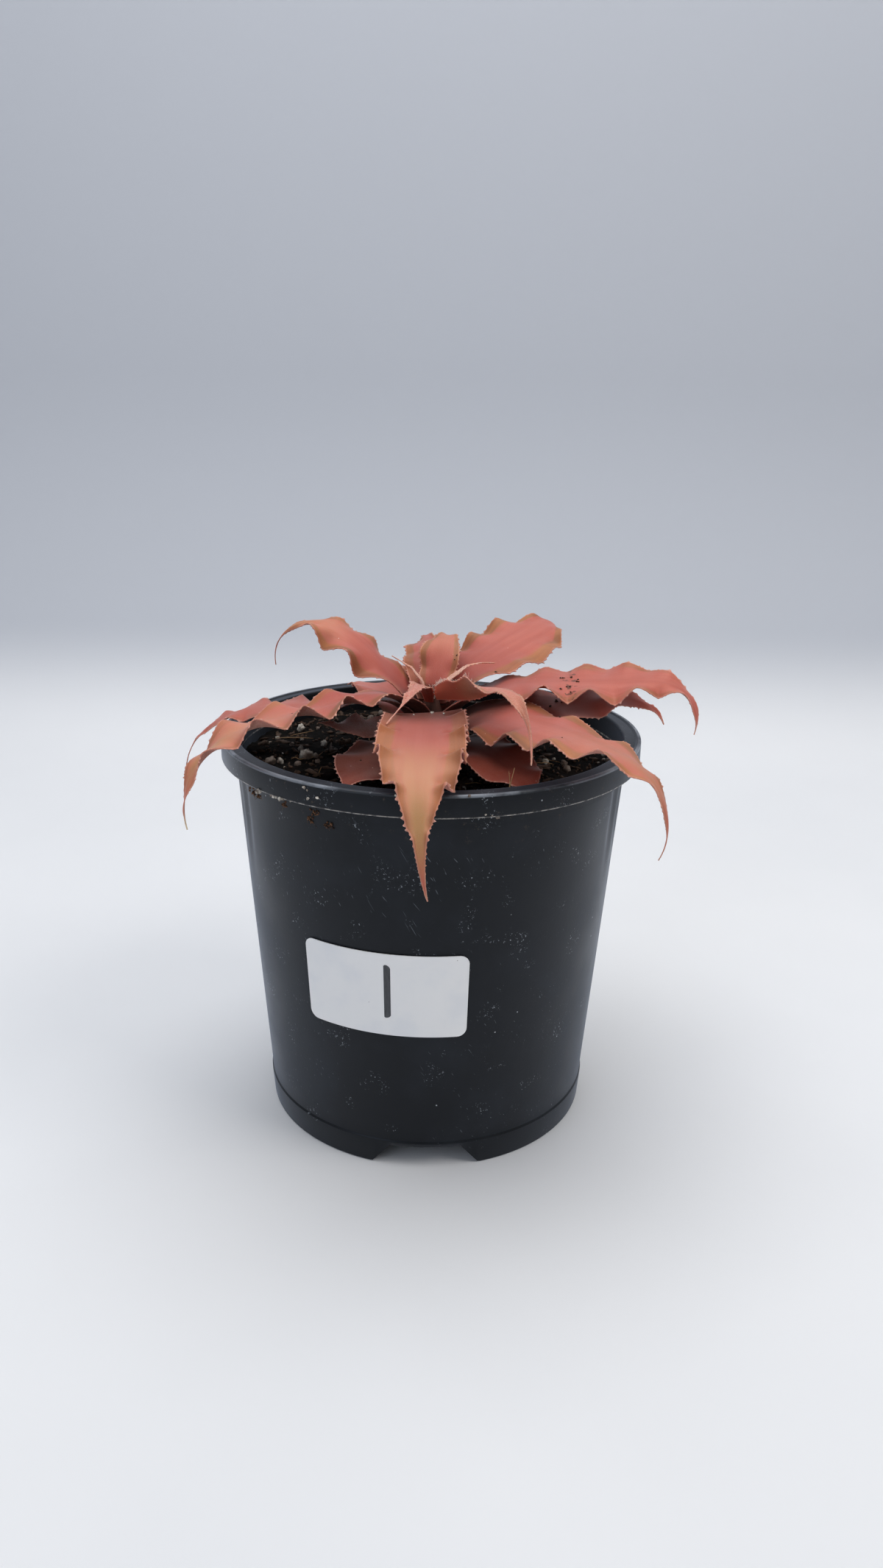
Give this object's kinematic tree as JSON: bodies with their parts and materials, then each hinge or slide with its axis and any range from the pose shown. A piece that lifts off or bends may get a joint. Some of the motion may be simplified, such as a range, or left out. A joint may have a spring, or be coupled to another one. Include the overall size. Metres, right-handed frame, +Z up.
{
  "type": "potted earth star",
  "caption": "Low rosette of wavy, toothed strap leaves on a short stem, standing in potting soil in a tapered nursery pot with a turned-down rim and a blank number sticker.",
  "frame": {"origin": "middle of the underside of the whole plant, on the pot's axis, on the surface that the pot's foot stands on", "axes": "+Z up along the pot's axis; -Y towards the front, the side that the label and the longest hanging leaf are on; +X to the right seen from the front"},
  "size_m": [0.1705, 0.1778, 0.1675],
  "materials": {
    "pot": "satin",
    "soil": "matte",
    "stem": "matte",
    "label": "satin",
    "leaf": "satin"
  },
  "bodies": {
    "root": {"pot": "pot", "soil": "soil", "stem": "stem", "label": "label", "leaf_01": "leaf", "leaf_02": "leaf", "leaf_03": "leaf", "leaf_04": "leaf", "leaf_05": "leaf", "leaf_06": "leaf", "leaf_07": "leaf", "leaf_08": "leaf", "leaf_09": "leaf", "leaf_10": "leaf", "leaf_11": "leaf", "leaf_12": "leaf", "leaf_13": "leaf", "leaf_14": "leaf", "leaf_15": "leaf", "leaf_16": "leaf", "leaf_17": "leaf", "leaf_18": "leaf", "leaf_19": "leaf"}
  },
  "joints": []
}
